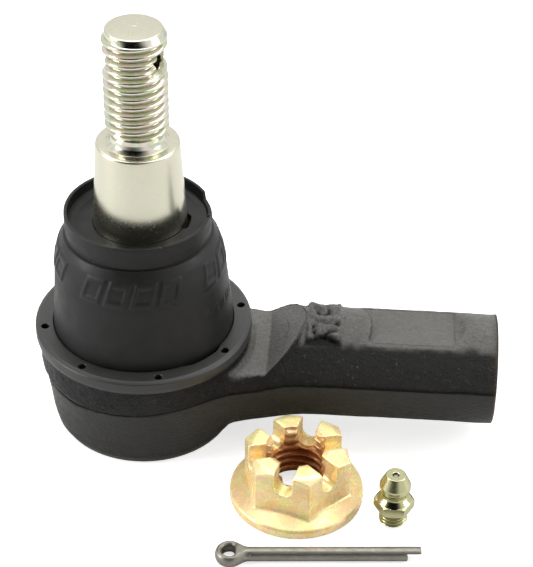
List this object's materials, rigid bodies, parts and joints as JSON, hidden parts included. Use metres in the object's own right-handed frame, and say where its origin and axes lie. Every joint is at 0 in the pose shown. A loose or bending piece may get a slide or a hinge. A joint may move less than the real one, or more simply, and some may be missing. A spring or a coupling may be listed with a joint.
{
  "type": "tie rod end",
  "caption": "Greasable ball-joint tie rod end: threaded stud in a rubber boot over a forged socket with a threaded shank, beside its loose castle nut, cotter pin and grease fitting.",
  "frame": {"origin": "where the stud's axis meets the plane that the socket stands on, on the flat middle of the cover plate", "axes": "+X along the threaded shank to its open end, +Z along the stud to its threaded end, +Y across the shank on the side away from the loose hardware"},
  "size_m": [0.1071, 0.0786, 0.1026],
  "materials": {
    "black_forging": "thin black paint over a rough forged skin, worn grey where it is machined",
    "plain_steel": "dull oiled grey steel",
    "spring_steel": "dark tempered steel",
    "bearing_plastic": "natural acetal",
    "zinc_steel": "pale yellowish zinc plate, satin on the taper and bright in the undercut",
    "black_rubber": "black moulded rubber with a satin skin",
    "satin_black": "satin dark grey coating",
    "gold_zinc": "glossy yellow chromated zinc with a faint pink and green iridescence"
  },
  "bodies": {
    "housing": {"socket_housing": "black_forging", "cover_plate": "plain_steel", "boot_retaining_ring": "satin_black", "preload_spring": "spring_steel"},
    "seat": {"lower_bearing": "bearing_plastic"},
    "bearing": {"upper_bearing": "bearing_plastic"},
    "boot": {"boot_lip_ring": "spring_steel", "dust_boot": "black_rubber"},
    "stud": {"ball_stud": "zinc_steel"},
    "nut": {"castle_nut": "gold_zinc"},
    "fitting": {"grease_fitting_body": "zinc_steel", "fitting_spring": "spring_steel"},
    "check_ball": {"fitting_check_ball": "spring_steel"},
    "pin": {"cotter_pin": "plain_steel"}
  },
  "joints": [
    {"name": "seat_take_up", "type": "slide", "parent": "housing", "child": "seat", "axis": [0, 0, 1], "range_m": [-0.0003, 0], "stiffness_N_per_m": 100000, "springref_m": 0.0005, "deforming": ["preload_spring"]},
    {"name": "bearing_turn", "type": "hinge", "parent": "housing", "child": "bearing", "pos_m": [0, 0, 0.0185], "axis": [0, 0, 1], "continuous": true},
    {"name": "stud_tilt", "type": "hinge", "parent": "bearing", "child": "boot", "pos_m": [0, 0, 0.0185], "axis": [0, 1, 0], "range_deg": [-20, 20], "deforming": ["dust_boot"]},
    {"name": "stud_spin", "type": "hinge", "parent": "boot", "child": "stud", "pos_m": [0, 0, 0.0185], "axis": [0, 0, 1], "continuous": true},
    {"name": "nut_lift", "type": "slide", "parent": "housing", "child": "nut", "axis": [0, 0, 1], "range_m": [0, 0.08]},
    {"name": "fitting_lift", "type": "slide", "parent": "housing", "child": "fitting", "axis": [0, 0, 1], "range_m": [0, 0.08]},
    {"name": "check_ball_travel", "type": "slide", "parent": "fitting", "child": "check_ball", "axis": [0, 0, -1], "range_m": [0, 0.0008], "stiffness_N_per_m": 300, "springref_m": -0.002, "deforming": ["fitting_spring"]},
    {"name": "pin_lift", "type": "slide", "parent": "housing", "child": "pin", "axis": [0, 0, 1], "range_m": [0, 0.08]}
  ]
}
